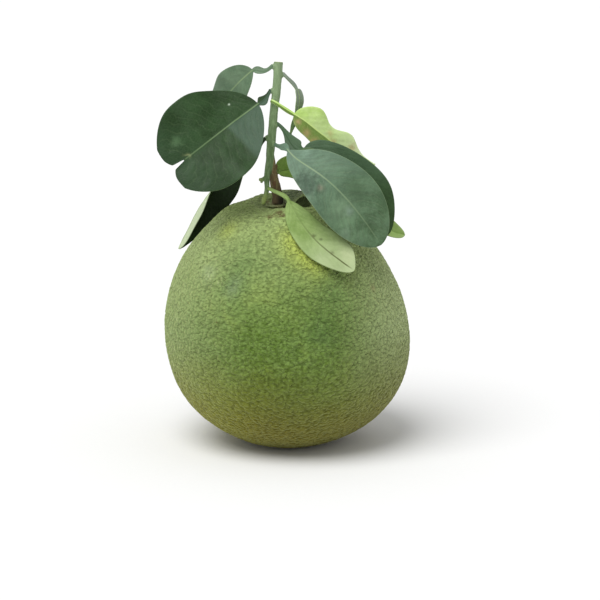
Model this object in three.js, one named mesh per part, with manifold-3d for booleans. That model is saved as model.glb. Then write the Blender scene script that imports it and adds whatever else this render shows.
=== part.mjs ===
// A whole green pomelo as picked, with its stem cavity, calyx, cut twig and nine leaves.
// Millimetres, +Z up. The origin is the centre of the small flat spot that the fruit rests on,
// and -Y is the side that the two largest leaves lean over.
import * as THREE from 'three';
import { mergeVertices } from 'three/addons/utils/BufferGeometryUtils.js';
import Module from 'manifold-3d';

const wasm = await Module();
wasm.setup();

// Driving dimensions of the fruit
const fruitRadius = 80; // half of its width at the equator
const crownHeight = 88; // equator to crown, before the cavity sinks it
const baseDepth = 78; // equator to blossom end
const crownPower = 1.98; // below 2 the shoulders are a little conical
const basePower = 2.17; // above 2 the underside is a little full
const restSpotRadius = 17.5; // flat spot that the fruit rests on
const equatorHeight = 76.6; // height of the equator over the rest spot
const leanLeft = 3.8; // degrees that the fruit's axis leans to -X
const leanFront = 4; // degrees that it leans to -Y
const cavityDepth = 6.5;
const cavityFloor = 0.05; // polar angles, radians from the fruit's axis
const cavityRim = 0.24;
const collarHeight = 2.6; // swelling round the cavity
const collarSide = 0.75; // azimuth of its highest lobe, radians from +X
const leftShoulder = 2.2; // swelling beside the cavity at -X
const leftTuck = 1.6; // how much the underside is drawn in at -X
const rightSag = 8; // how far the body has sunk from above to below its equator at +X

// Driving dimensions of the calyx, the twig and the leaves
const touchGap = 0.4; // left between pieces that rest on each other
const calyxRadius = 8.2;
const calyxLobes = 5;
const calyxThickness = 2;
const stemRadius = 2.95; // at its cut top
const stalkRadius = 2.9;
const bladeThickness = 0.8;
const petioleRadius = 1.05;

const up = new THREE.Vector3(0, 0, 1);
const equator = new THREE.Vector3(0, 0, equatorHeight);
const fruitAxis = new THREE.Vector3(
  -Math.tan(THREE.MathUtils.degToRad(leanLeft)),
  -Math.tan(THREE.MathUtils.degToRad(leanFront)),
  1,
).normalize();
const lean = new THREE.Quaternion().setFromUnitVectors(up, fruitAxis);
const upright = lean.clone().invert();

const smooth = THREE.MathUtils.smoothstep;
const point = (list) => new THREE.Vector3(...list);
const bell = (value, centre, spread) => Math.exp(-(((value - centre) / spread) ** 2));

function paint(colour, roughness) {
  return new THREE.MeshStandardMaterial({ color: colour, roughness, metalness: 0, side: THREE.FrontSide });
}

function solidMesh(name, vertices, triangles, material) {
  const geometry = new THREE.BufferGeometry();
  const numbers = vertices.flatMap((vertex) => vertex.toArray());
  geometry.setAttribute('position', new THREE.Float32BufferAttribute(numbers, 3));
  geometry.setIndex(triangles);
  geometry.computeVertexNormals();
  const mesh = new THREE.Mesh(geometry, material);
  mesh.name = name;
  return mesh;
}

// Rings of equal count, each anticlockwise seen from its outer end, closed by a fan at both ends
function skinTriangles(ringCount, sides) {
  const triangles = [];
  const start = ringCount * sides;
  for (let side = 0; side < sides; side++) {
    const next = (side + 1) % sides;
    triangles.push(start, side, next);
    triangles.push(start + 1, (ringCount - 1) * sides + next, (ringCount - 1) * sides + side);
    for (let ring = 0; ring < ringCount - 1; ring++) {
      const near = ring * sides;
      const far = near + sides;
      triangles.push(near + side, far + side, far + next, near + side, far + next, near + next);
    }
  }
  return triangles;
}

// Distance of the skin from the middle of the equator, in the fruit's own leaning frame
function skinDistance(polar, azimuth) {
  const crownward = Math.cos(polar) > 0;
  const power = crownward ? crownPower : basePower;
  const height = crownward ? crownHeight : baseDepth;
  const across = (Math.sin(polar) / fruitRadius) ** power;
  const along = (Math.abs(Math.cos(polar)) / height) ** power;
  const body = (across + along) ** (-1 / power);
  const waist = Math.sin(polar) ** 2;
  const lobes = 0.7 * Math.cos(2 * azimuth + 0.6)
    + 0.5 * Math.cos(3 * azimuth - 1.1)
    + 0.4 * Math.cos(5 * azimuth + 0.4);
  const facing = Math.cos(azimuth - collarSide);
  const collar = collarHeight * (0.15 + 1.2 * facing) * bell(polar, cavityRim, 0.09);
  const sunken = 1 - smooth(polar, cavityFloor, cavityRim);
  const cavity = (cavityDepth + 2.5 * facing * smooth(polar, 0, cavityRim)) * sunken;
  const furrows = 0.45 * Math.cos(7 * azimuth + 1.2) * bell(polar, 0.33, 0.15);
  const left = leftShoulder * bell(polar, 0.36, 0.16) - leftTuck * bell(polar, 2.5, 0.3);
  const right = -rightSag * waist * (Math.cos(polar) + 0.15);
  const uneven = left * Math.max(0, -Math.cos(azimuth)) ** 2 + right * Math.max(0, Math.cos(azimuth)) ** 2;
  return body + lobes * waist + collar - cavity - furrows + uneven;
}

function skinPoint(polar, azimuth, lift = 0) {
  const direction = new THREE.Vector3().setFromSphericalCoords(1, polar, azimuth);
  direction.set(direction.z, direction.x, direction.y); // azimuth runs from +X to +Y about +Z
  return direction.multiplyScalar(skinDistance(polar, azimuth) + lift).applyQuaternion(lean).add(equator);
}

// The fruit's grid leans with the fruit at the crown and stands upright over the rest spot
function fruitGridPoint(polar, azimuth) {
  const direction = new THREE.Vector3().setFromSphericalCoords(1, polar, azimuth);
  direction.set(direction.z, direction.x, direction.y);
  const turned = lean.clone().slerp(new THREE.Quaternion(), smooth(polar, 1.2, 2.4));
  direction.applyQuaternion(turned).applyQuaternion(upright);
  const placed = skinPoint(Math.acos(direction.z), Math.atan2(direction.y, direction.x));
  placed.z = Math.max(placed.z, 0);
  return placed;
}

function makeFruit() {
  const sides = 54;
  const crownRings = 8;
  const bodyRings = 22;
  const crownEnd = 0.4;
  const spotPolar = Math.PI - Math.atan(restSpotRadius / equatorHeight);
  const polars = [];
  for (let ring = 1; ring <= crownRings; ring++) polars.push((crownEnd * ring) / crownRings);
  for (let ring = 1; ring < bodyRings; ring++) {
    polars.push(crownEnd + ((spotPolar - crownEnd) * ring) / bodyRings);
  }
  const vertices = [];
  const azimuths = Array.from({ length: sides }, (_, side) => (2 * Math.PI * side) / sides);
  for (const polar of polars) vertices.push(...azimuths.map((azimuth) => fruitGridPoint(polar, azimuth)));
  for (const azimuth of azimuths) {
    vertices.push(new THREE.Vector3(Math.cos(azimuth), Math.sin(azimuth), 0).multiplyScalar(restSpotRadius));
  }
  vertices.push(skinPoint(0, 0), new THREE.Vector3());
  return solidMesh('fruit', vertices, skinTriangles(polars.length + 1, sides), paint('#74904c', 0.6));
}

// The calyx follows the cavity floor, a gap above it, and thins to the rounded tips of its lobes
function makeCalyx() {
  const sides = 30;
  const shares = [0.5, 0.85, 1];
  const ring = (share, lift) => Array.from({ length: sides }, (_, side) => {
    const azimuth = (2 * Math.PI * side) / sides;
    const reach = calyxRadius * (1 + 0.2 * Math.cos(calyxLobes * azimuth) * share);
    return skinPoint((share * reach) / crownHeight, azimuth, lift);
  });
  const topLift = (share) => touchGap + calyxThickness * (1 - 0.6 * share ** 2);
  const rings = shares.map((share) => ring(share, topLift(share)));
  rings.push(...shares.toReversed().map((share) => ring(share, touchGap)));
  const vertices = rings.flat();
  vertices.push(skinPoint(0, 0, topLift(0)), skinPoint(0, 0, touchGap));
  return solidMesh('calyx', vertices, skinTriangles(rings.length, sides), paint('#6d7040', 0.75));
}

// A limb of the twig: a curve downwards through points, each with its own radius
function makeLimb(line, radii) {
  const curve = new THREE.CatmullRomCurve3(line.map(point), false, 'centripetal');
  const spread = new THREE.SplineCurve(radii.map((radius, index) => new THREE.Vector2(index, radius)));
  return { curve, radiusAt: (share) => spread.getPoint(share).y };
}

const stalkFoot = skinPoint(0, 0, calyxThickness + 2 * touchGap).toArray();

const limbs = {
  stem: makeLimb(
    [
      [-4.9, -6, 252], [-6.2, -7, 234], [-7.8, -8, 221.5], [-8.9, -8.5, 208.5], [-10.1, -9, 196],
      [-10.8, -10, 188.5], [-12.2, -12, 181.8], [-12.5, -13.6, 176], [-12.4, -15.4, 171], [-14, -17.4, 164.6],
    ],
    [stemRadius, 2.8, 2.75, 2.8, 2.75, 2.35, 1.9, 1.75, 1.6, 1.35],
  ),
  stalk: makeLimb(
    [
      [-9.9, -9, 194], [-9.3, -8.7, 186], [-8.4, -8.1, 178.5], [-6.7, -7, 170.5], [-5.7, -6.2, 165.5],
      stalkFoot,
    ],
    [2, 2.6, stalkRadius, 3.3, 3.5, 3.7],
  ),
};

// The place, radius and outward side of a node at a height on a limb
function nodeOn({ limb, height, side }) {
  const { curve, radiusAt } = limbs[limb];
  let above = 0;
  let below = 1;
  for (let halving = 0; halving < 20; halving++) {
    const share = (above + below) / 2;
    if (curve.getPoint(share).z > height) above = share;
    else below = share;
  }
  return { centre: curve.getPoint(above), radius: radiusAt(above), outward: point(side).normalize() };
}

// A tapering rod with flat ends along a limb
function rodGeometry({ curve, radiusAt }, sides, steps) {
  const vertices = [];
  const across = new THREE.Vector3(1, 0, 0);
  for (let step = 0; step <= steps; step++) {
    const share = step / steps;
    const centre = curve.getPoint(share);
    const ahead = curve.getTangent(share);
    across.addScaledVector(ahead, -across.dot(ahead)).normalize();
    const beside = ahead.clone().cross(across);
    for (let side = 0; side < sides; side++) {
      const angle = (-2 * Math.PI * side) / sides;
      const spoke = across.clone().multiplyScalar(Math.cos(angle)).addScaledVector(beside, Math.sin(angle));
      vertices.push(centre.clone().addScaledVector(spoke, radiusAt(share)));
    }
  }
  vertices.push(curve.getPoint(0), curve.getPoint(1));
  return solidMesh('rod', vertices, skinTriangles(steps + 1, sides)).geometry;
}

// An egg whose long axis points along a direction
function eggGeometry(place, direction, width, length) {
  const geometry = new THREE.SphereGeometry(1, 8, 6);
  geometry.scale(width / 2, length / 2, width / 2);
  geometry.applyQuaternion(new THREE.Quaternion().setFromUnitVectors(
    new THREE.Vector3(0, 1, 0),
    direction.clone().normalize(),
  ));
  return geometry.translate(place.x, place.y, place.z);
}

// The swelling that a petiole grows from
function swellingGeometry(node) {
  const { centre, radius, outward } = nodeOn(node);
  const place = centre.clone().addScaledVector(outward, radius * 0.55);
  return eggGeometry(place, outward.clone().addScaledVector(up, 1.1), radius * 1.3, radius * 2.4);
}

function manifoldOf(geometry) {
  const bare = new THREE.BufferGeometry();
  bare.setAttribute('position', geometry.getAttribute('position'));
  bare.setIndex(geometry.getIndex());
  const merged = mergeVertices(bare, 1e-4);
  return new wasm.Manifold(new wasm.Mesh({
    numProp: 3,
    vertProperties: new Float32Array(merged.getAttribute('position').array),
    triVerts: new Uint32Array(merged.getIndex().array),
  }));
}

// Dead stubs beside the side shoot
const stubs = [
  makeLimb([[-12.6, -13, 179.2], [-15.6, -14.4, 177.2], [-17.4, -15, 177.4]], [1.1, 1.2, 0.85]),
  makeLimb([[-14.4, -13.9, 177.9], [-16.2, -14.8, 175.2]], [0.9, 0.8]),
];
const shootBud = { place: [-14.4, -17.6, 164.4], direction: [-0.3, -0.25, -1], width: 3.1, length: 6.2 };

// Each leaf grows from a node on a limb. Its line runs from a handle near there to the joint, then
// over two handles to the tip. The upper face looks along facing, at the joint and at the tip.
// half is the blade's half width, wing what the petiole's wing adds to each side, fold the angle in
// degrees that each half rises, curl how much more it bends per millimetre. widest moves the widest
// place, blunt fills the ends, ripple waves the margin, shoulder widens one side towards the tip,
// and end cuts the blade short with a notch at its midrib.
const leaves = [
  {
    name: 'leaf_upper_left', colour: '#66806a', node: { limb: 'stem', height: 247.6, side: [-1, -0.25, 0.3] },
    line: [[-14.8, -7, 243.8], [-21.4, -4, 246.2], [-27.8, 0, 241.7], [-37.8, 7, 229.9], [-48.4, 10, 216.5]],
    facing: [[-0.2, -0.9, 0.4], [-0.3, -0.8, 0.5]],
    half: 13.5, wing: 1.3, fold: 8, curl: 0.004, wave: 0.8, waves: 2.2, widest: 0.9,
  },
  {
    name: 'leaf_large_left', colour: '#3f5f3f', node: { limb: 'stem', height: 232.4, side: [-1, -0.4, 0.2] },
    line: [[-12.9, -11, 229.5], [-17.8, -14, 225.9], [-41, -22, 210.6], [-50, -33.6, 203.2], [-73, -38, 187]],
    facing: [[-0.25, -0.9, 0.35], [-0.1, -0.95, 0.25]],
    half: 33.4, wing: 2.4, fold: 5, curl: 0.002, wave: 1.3, waves: 2.5, widest: 1.13, blunt: 0.49,
    end: { cut: 0.94, round: 0.8, dip: 3.9, notch: 6.5, notchShare: 0.08 },
    columns: [0.08, 0.26, 0.5, 0.72, 0.88, 1],
  },
  {
    name: 'leaf_folded_left', colour: '#2f4a2c', node: { limb: 'stem', height: 202.6, side: [-1, -0.15, 0] },
    line: [[-18.9, -5, 196.3], [-24.2, 1, 190.9], [-37.6, 13, 179.2], [-54, 29, 164], [-72, 36.5, 122.2]],
    facing: [[0.3, -0.9, 0.2], [0.77, -0.34, -0.55]],
    half: 15.5, wing: 2.4, fold: 44, curl: 0.006, wave: 0.7, waves: 2, widest: 1,
  },
  {
    name: 'leaf_edge_right', colour: '#6c8660', node: { limb: 'stem', height: 242.2, side: [1, 0.1, 0.35] },
    line: [[2.8, -6, 239.5], [6.7, -4, 234.1], [11, -4, 224.3], [4.1, -2, 214.6], [2.6, 0, 203]],
    facing: [[0.8, -0.6, 0.1], [0.6, -0.8, 0.1]],
    half: 3.6, wing: 0.35, fold: 14, curl: 0.012, wave: 0.5, waves: 2, widest: 0.4,
  },
  {
    name: 'leaf_yellow_right', colour: '#9fb765', node: { limb: 'stem', height: 226.4, side: [-0.3, -1, 0.2] },
    line: [[-4.5, -15, 225.9], [5.1, -13, 219], [18, -13.5, 212.9], [31.8, -10, 194.2], [57.5, -2, 185.1]],
    facing: [[0.05, -0.9, 0.45], [0.2, -0.75, 0.6]],
    half: 11.8, wing: 0.35, fold: 20, curl: 0.006, wave: 1.8, waves: 1.87, widest: 0.55, blunt: 0.91,
    ripple: 0.285, phase: 1.56,
  },
  {
    name: 'leaf_behind_right', colour: '#3d5f3a', node: { limb: 'stem', height: 210, side: [0.9, -0.3, 0.5] },
    line: [[2.4, -13.6, 207.2], [11.5, -22.5, 198], [25, -28, 203.7], [34.5, -36, 172], [66, -33.5, 145.4]],
    facing: [[-0.2, -0.85, 0.5], [-0.25, -0.8, 0.6]],
    half: 23.6, wing: 4.2, fold: 10, curl: 0.003, wave: 0.8, waves: 2, widest: 1.31, blunt: 0.59,
  },
  {
    name: 'leaf_front_right', colour: '#63806a', node: { limb: 'stem', height: 198.6, side: [0.7, -0.8, 0.2] },
    line: [[-3.3, -18, 198.1], [1.3, -27, 198], [12.2, -40, 185.7], [26.4, -57, 194], [60, -48, 140.8]],
    facing: [[-0.2, -0.85, 0.5], [-0.25, -0.75, 0.65]],
    half: 20.8, wing: 1.6, fold: 9, curl: 0.003, wave: 0.9, waves: 2.2, widest: 1.33, blunt: 0.56,
  },
  {
    name: 'leaf_pale_front', colour: '#94ad69', node: { limb: 'stem', height: 171.6, side: [0.6, -0.8, 0] },
    line: [[-5.9, -21, 169.5], [1.6, -27, 165.6], [14.3, -51, 145.8], [19.2, -58.5, 143], [42.9, -60, 126.6]],
    facing: [[0.15, -0.8, 0.6], [0.3, -0.8, 0.5]],
    half: 11.7, wing: 0.35, fold: 4, curl: -0.004, wave: 0.6, waves: 2.4, widest: 1.13, blunt: 0.56,
    shoulder: -4.6,
  },
  {
    name: 'leaf_low_right', colour: '#7f9c55', node: { limb: 'stalk', height: 183.4, side: [0.8, 0.6, 0] },
    line: [[-4.6, -2, 180.9], [-5.4, 3, 178.9], [20, 9, 190], [58, 4, 138], [77.2, -4, 139.2]],
    facing: [[-0.1, -0.85, 0.5], [0.2, -0.85, 0.3]],
    half: 12.5, wing: 0.35, fold: 38, curl: 0.004, wave: 0.7, waves: 2.2, widest: 0.64, blunt: 0.38,
  },
];

function makeTwig() {
  const bud = eggGeometry(point(shootBud.place), point(shootBud.direction), shootBud.width, shootBud.length);
  const pieces = [
    rodGeometry(limbs.stem, 10, 26),
    rodGeometry(limbs.stalk, 10, 9),
    ...stubs.map((stub) => rodGeometry(stub, 6, 3)),
    ...leaves.map((leaf) => swellingGeometry(leaf.node)),
    bud,
  ];
  const joined = pieces.map(manifoldOf).reduce((whole, piece) => whole.add(piece)).getMesh();
  const vertices = [];
  for (let index = 0; index < joined.vertProperties.length; index += 3) {
    vertices.push(new THREE.Vector3(...joined.vertProperties.slice(index, index + 3)));
  }
  return solidMesh('twig', vertices, [...joined.triVerts], paint('#6f8a5c', 0.7));
}

const petioleRows = 5;
const bladeRows = 15;
const plainColumns = [0.34, 0.68, 1]; // shares of the blade outside its rib, from rib to margin

// Stations across a leaf from one margin to the other: a side of the midrib, and a share outside it
function stationsAcross(leaf) {
  const columns = leaf.columns ?? plainColumns;
  const half = [[1, 0], ...columns.map((share) => [1, share])];
  const other = half.map(([side, share]) => [-side, share]).toReversed();
  return [...other, [0, 0], ...half];
}

// The curve, place on it, rib radius and half width of a leaf at each of its rows
function leafRows(leaf) {
  const [handle, joint, rise, run, tip] = leaf.line.map(point);
  const { centre, radius, outward } = nodeOn(leaf.node);
  const foot = centre.clone().addScaledVector(outward, radius * 1.25 + touchGap + 0.7);
  const approach = joint.clone().sub(rise).setLength(joint.distanceTo(foot) * 0.35).add(joint);
  const petiole = new THREE.CubicBezierCurve3(foot, handle, approach, joint);
  const blade = new THREE.CubicBezierCurve3(joint, rise, run, tip);
  const rows = [];
  for (let row = 0; row < petioleRows; row++) {
    const share = row / petioleRows;
    const wing = leaf.wing * Math.sin(Math.PI * share ** 2) ** 1.3;
    rows.push({ curve: petiole, share, rib: petioleRadius, half: petioleRadius + 0.1 + wing, along: 0 });
  }
  for (let row = 0; row <= bladeRows; row++) {
    const even = row / bladeRows;
    const share = even - 0.11 * Math.sin(2 * Math.PI * even); // closer rows at the joint and the tip
    const rib = THREE.MathUtils.lerp(petioleRadius, 0.4, share);
    const swell = Math.sin(Math.PI * Math.min(1, share * (leaf.end?.cut ?? 1)) ** leaf.widest);
    const width = leaf.half * Math.max(0, swell) ** (leaf.blunt ?? 0.7);
    rows.push({ curve: blade, share, rib, half: Math.max(width, rib + 0.1), along: share });
  }
  return rows;
}

// How far a notched blade's end falls short of its line, at a share of its half width
function endShift({ round, dip, notch, notchShare }, reach) {
  const outer = Math.max(0, 2 * reach - 1);
  const inner = Math.max(0, 1 - 2 * reach);
  const cleft = notch * Math.max(0, 1 - reach / notchShare);
  return round * (1 - Math.sqrt(1 - outer ** 2)) + dip * inner ** 2 + cleft;
}

function makeLeaf(leaf) {
  const [facingJoint, facingTip] = leaf.facing.map(point);
  const opening = THREE.MathUtils.degToRad(leaf.fold);
  const stations = stationsAcross(leaf);
  const upper = [];
  const lower = [];
  for (const { curve, share, rib, half, along } of leafRows(leaf)) {
    const centre = curve.getPointAt(share);
    const ahead = curve.getTangentAt(share);
    const facing = facingJoint.clone().lerp(facingTip, along);
    facing.addScaledVector(ahead, -facing.dot(ahead)).normalize();
    const across = ahead.clone().cross(facing);
    const start = opening * (along > 0 ? 1 : share);
    for (const [side, outer] of stations) {
      const turn = 2 * Math.PI * leaf.waves * along + (leaf.phase ?? 0) + 1.3 * side;
      const swing = Math.sin(turn) * Math.sin(Math.PI * along) * outer ** 2;
      const bulge = Math.max(0, side * (leaf.shoulder ?? 0)) * Math.sin(Math.PI * along ** 4);
      const plain = (half + bulge - rib) * (1 + (leaf.ripple ?? 0) * swing);
      const width = rib * Math.abs(side) + plain * outer;
      const slope = start + leaf.curl * width;
      const reach = (Math.sin(slope) - Math.sin(start)) / leaf.curl;
      const rise = (Math.cos(start) - Math.cos(slope)) / leaf.curl + leaf.wave * swing;
      const spot = centre.clone().addScaledVector(across, side * reach).addScaledVector(facing, rise);
      if (leaf.end) spot.addScaledVector(ahead, -endShift(leaf.end, outer) * along ** 6);
      const normal = facing.clone().multiplyScalar(Math.cos(slope));
      normal.addScaledVector(across, -side * Math.sin(slope));
      const ridge = side === 0 && along === 0 ? rib * 0.4 : 0;
      const keel = side === 0 ? rib * 0.7 : 0;
      upper.push(spot.clone().addScaledVector(normal, bladeThickness / 2 + ridge));
      lower.push(spot.addScaledVector(normal, -bladeThickness / 2 - keel));
    }
  }
  const triangles = leafTriangles(upper.length, stations.length);
  return solidMesh(leaf.name, [...upper, ...lower], triangles, paint(leaf.colour, 0.5));
}

// Both faces are split into the same triangles, mirrored about the midrib
function leafTriangles(count, stations) {
  const rows = count / stations;
  const middle = (stations - 1) / 2;
  const triangles = [];
  const quad = (a, b, c, d) => triangles.push(a, b, c, a, c, d);
  for (let row = 0; row < rows - 1; row++) {
    for (let station = 0; station < stations - 1; station++) {
      const near = row * stations + station;
      const far = near + stations;
      if (station < middle) {
        quad(near, near + 1, far + 1, far);
        quad(count + far + 1, count + near + 1, count + near, count + far);
      } else {
        quad(near + 1, far + 1, far, near);
        quad(count + near + 1, count + near, count + far, count + far + 1);
      }
    }
    const left = row * stations;
    const right = left + stations - 1;
    quad(left, left + stations, count + left + stations, count + left);
    quad(count + right, count + right + stations, right + stations, right);
  }
  for (let station = 0; station < stations - 1; station++) {
    const last = count - stations + station;
    quad(station, count + station, count + station + 1, station + 1);
    quad(last, last + 1, count + last + 1, count + last);
  }
  return triangles;
}

const pomelo = new THREE.Group();
pomelo.add(makeFruit(), makeCalyx(), makeTwig(), ...leaves.map(makeLeaf));

export default pomelo;
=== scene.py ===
# A green pomelo with its cut leafy twig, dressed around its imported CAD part.
# Sizes are millimetres here and become metres where a mesh is made. +Z is up, -Y is the front.
import math

import bpy
import numpy as np
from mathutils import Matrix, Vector


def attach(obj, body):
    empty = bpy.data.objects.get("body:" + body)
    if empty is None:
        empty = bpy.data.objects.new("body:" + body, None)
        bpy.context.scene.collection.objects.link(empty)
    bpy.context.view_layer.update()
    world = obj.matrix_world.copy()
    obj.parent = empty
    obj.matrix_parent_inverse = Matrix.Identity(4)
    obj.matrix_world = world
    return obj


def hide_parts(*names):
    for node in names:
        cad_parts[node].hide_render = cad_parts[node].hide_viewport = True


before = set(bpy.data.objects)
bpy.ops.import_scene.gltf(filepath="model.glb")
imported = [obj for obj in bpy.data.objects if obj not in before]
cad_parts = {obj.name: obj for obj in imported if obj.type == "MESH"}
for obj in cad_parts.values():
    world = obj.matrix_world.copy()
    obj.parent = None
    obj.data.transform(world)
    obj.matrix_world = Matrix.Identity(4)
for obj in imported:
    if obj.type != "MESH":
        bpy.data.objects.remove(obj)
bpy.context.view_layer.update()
print("frame loaded:", len(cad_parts), "nodes")

millimetre = 0.001


class Wire:
    # An output of a node, so that an expression on it adds Math nodes
    def __init__(self, tree, socket):
        self.tree = tree
        self.socket = socket

    def maths(self, operation, *values):
        return self.tree.node("ShaderNodeMath", {"operation": operation}, dict(enumerate(values)))

    def output(self, name):
        return Wire(self.tree, self.socket.node.outputs[name])

    def __add__(self, other):
        return self.maths("ADD", self, other)

    def __sub__(self, other):
        return self.maths("SUBTRACT", self, other)

    def __rsub__(self, other):
        return self.maths("SUBTRACT", other, self)

    def __mul__(self, other):
        return self.maths("MULTIPLY", self, other)

    def __truediv__(self, other):
        return self.maths("DIVIDE", self, other)

    def __rtruediv__(self, other):
        return self.maths("DIVIDE", other, self)

    def __pow__(self, other):
        return self.maths("POWER", self, other)

    def __neg__(self):
        return self.maths("MULTIPLY", self, -1)

    __radd__ = __add__
    __rmul__ = __mul__


class NodeTree:
    def __init__(self, tree):
        self.tree = tree

    def node(self, kind, settings=None, sockets=None, output=0):
        made = self.tree.nodes.new(kind)
        for name, value in (settings or {}).items():
            setattr(made, name, value)
        for name, value in (sockets or {}).items():
            if isinstance(value, Wire):
                self.tree.links.new(value.socket, made.inputs[name])
            else:
                made.inputs[name].default_value = value
        return Wire(self, made.outputs[output] if made.outputs else None)

    def vector(self, operation, *values):
        return self.node("ShaderNodeVectorMath", {"operation": operation}, dict(enumerate(values)))

    def scaled(self, vector, factor):
        return self.node("ShaderNodeVectorMath", {"operation": "SCALE"}, {0: vector, "Scale": factor})

    def parts(self, vector):
        split = self.node("ShaderNodeSeparateXYZ", None, {0: vector})
        return split, split.output("Y"), split.output("Z")

    def between(self, first, second):
        return self.node("ShaderNodeVectorMath", {"operation": "DISTANCE"}, {0: first, 1: second}, 1)

    def joined(self, x, y, z):
        return self.node("ShaderNodeCombineXYZ", None, {0: x, 1: y, 2: z})

    def noise(self, place, scale, detail=2.0, roughness=0.5, distortion=0.0):
        sockets = {"Vector": place, "Scale": scale, "Detail": detail, "Roughness": roughness}
        return self.node("ShaderNodeTexNoise", None, {**sockets, "Distortion": distortion})

    def mix(self, factor, first, second):
        return self.node("ShaderNodeMix", {"data_type": "RGBA"}, {0: factor, 6: first, 7: second}, 2)


def sine(value):
    return value.maths("SINE", value) if isinstance(value, Wire) else np.sin(value)


def cosine(value):
    return value.maths("COSINE", value) if isinstance(value, Wire) else np.cos(value)


def absolute(value):
    return value.maths("ABSOLUTE", value) if isinstance(value, Wire) else np.abs(value)


def bell(value, centre, spread):
    squared = ((value - centre) / spread) ** 2
    return squared.maths("EXPONENT", -squared) if isinstance(value, Wire) else np.exp(-squared)


def isAbove(value, limit):
    if isinstance(value, Wire):
        return value.maths("GREATER_THAN", value, limit)
    return np.where(np.asarray(value) > limit, 1.0, 0.0)


def positive(value):
    return value.maths("MAXIMUM", value, 0.0) if isinstance(value, Wire) else np.maximum(value, 0)


def smoothStep(value, low, high):
    if isinstance(value, Wire):
        settings = {"interpolation_type": "SMOOTHSTEP"}
        return value.tree.node("ShaderNodeMapRange", settings, {0: value, 1: low, 2: high, 3: 0.0, 4: 1.0})
    share = np.clip((value - low) / (high - low), 0, 1)
    return share * share * (3 - 2 * share)


def screenColour(red, green, blue):
    channels = [value / 255 for value in (red, green, blue)]
    return tuple(c / 12.92 if c < 0.04 else ((c + 0.055) / 1.055) ** 2.4 for c in channels) + (1.0,)


def geometryTree(name, inputs):
    group = bpy.data.node_groups.new(name, "GeometryNodeTree")
    group.interface.new_socket("Geometry", in_out="INPUT", socket_type="NodeSocketGeometry")
    group.interface.new_socket("Geometry", in_out="OUTPUT", socket_type="NodeSocketGeometry")
    for label, value in inputs.items():
        kind = "NodeSocketInt" if isinstance(value, int) else "NodeSocketFloat"
        group.interface.new_socket(label, in_out="INPUT", socket_type=kind).default_value = value
    tree = NodeTree(group)
    start = tree.node("NodeGroupInput")
    return tree, start, {label: start.output(label) for label in inputs}


def endTree(tree, geometry, material):
    real = tree.node("GeometryNodeRealizeInstances", None, {0: geometry})
    painted = tree.node("GeometryNodeSetMaterial", None, {0: real, "Material": material})
    tree.node("NodeGroupOutput", None, {0: painted})


def grown(source, name, tree, values):
    # The plain mesh that a tree makes of a source object, as a piece of its own
    modifier = source.modifiers.new(name, "NODES")
    modifier.node_group = tree.tree
    for item in tree.tree.interface.items_tree:
        if item.in_out == "INPUT" and item.name in values:
            modifier[item.identifier] = values[item.name]
    bpy.context.view_layer.update()
    evaluated = source.evaluated_get(bpy.context.evaluated_depsgraph_get())
    mesh = bpy.data.meshes.new_from_object(evaluated)
    source.modifiers.remove(modifier)
    bpy.data.objects.remove(source)
    mesh.name = name
    piece = bpy.data.objects.new(name, mesh)
    bpy.context.scene.collection.objects.link(piece)
    return piece


def meshObject(name, vertices, faces):
    mesh = bpy.data.meshes.new(name)
    mesh.from_pydata((np.asarray(vertices) * millimetre).tolist(), [], faces)
    mesh.polygons.foreach_set("use_smooth", [True] * len(mesh.polygons))
    piece = bpy.data.objects.new(name, mesh)
    bpy.context.scene.collection.objects.link(piece)
    return piece


def setAttribute(mesh, name, kind, values):
    attribute = mesh.attributes.new(name, kind, "POINT")
    field = "vector" if kind == "FLOAT_VECTOR" else "value"
    attribute.data.foreach_set(field, np.asarray(values, np.float32).ravel())


def finishPiece(piece, node):
    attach(piece, "root")
    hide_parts(node)
    triangles = sum(len(polygon.vertices) - 2 for polygon in piece.data.polygons)
    print(f"{piece.name}: {triangles} triangles")


def newMaterial(name):
    material = bpy.data.materials.new(name)
    material.use_nodes = True
    material.node_tree.nodes.clear()
    return material, NodeTree(material.node_tree)


def finishMaterial(tree, settings):
    shader = tree.node("ShaderNodeBsdfPrincipled", None, settings)
    tree.node("ShaderNodeOutputMaterial", None, {"Surface": shader})


def objectPlace(tree):
    # Object coordinates in millimetres
    return tree.scaled(tree.node("ShaderNodeTexCoord").output("Object"), 1000.0)


def attributeOf(tree, name):
    return tree.node("ShaderNodeAttribute", {"attribute_name": name}).output("Fac")


# Camera, light and floor
view = {
    "target": (8.87, 0.0, 94.93),
    "distance": 1500.0,
    "elevation": 12.0,
    "width": 394.25,  # millimetres that the frame takes in at the target
    "sensor": 36.0,
}
light = {
    "from": (-0.3, -0.42, 0.86),
    "strength": 2.2,
    "spread": 42.0,  # degrees across, so that shadows stay soft
    "sky": 0.55,
}
floorReach = 9000


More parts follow.
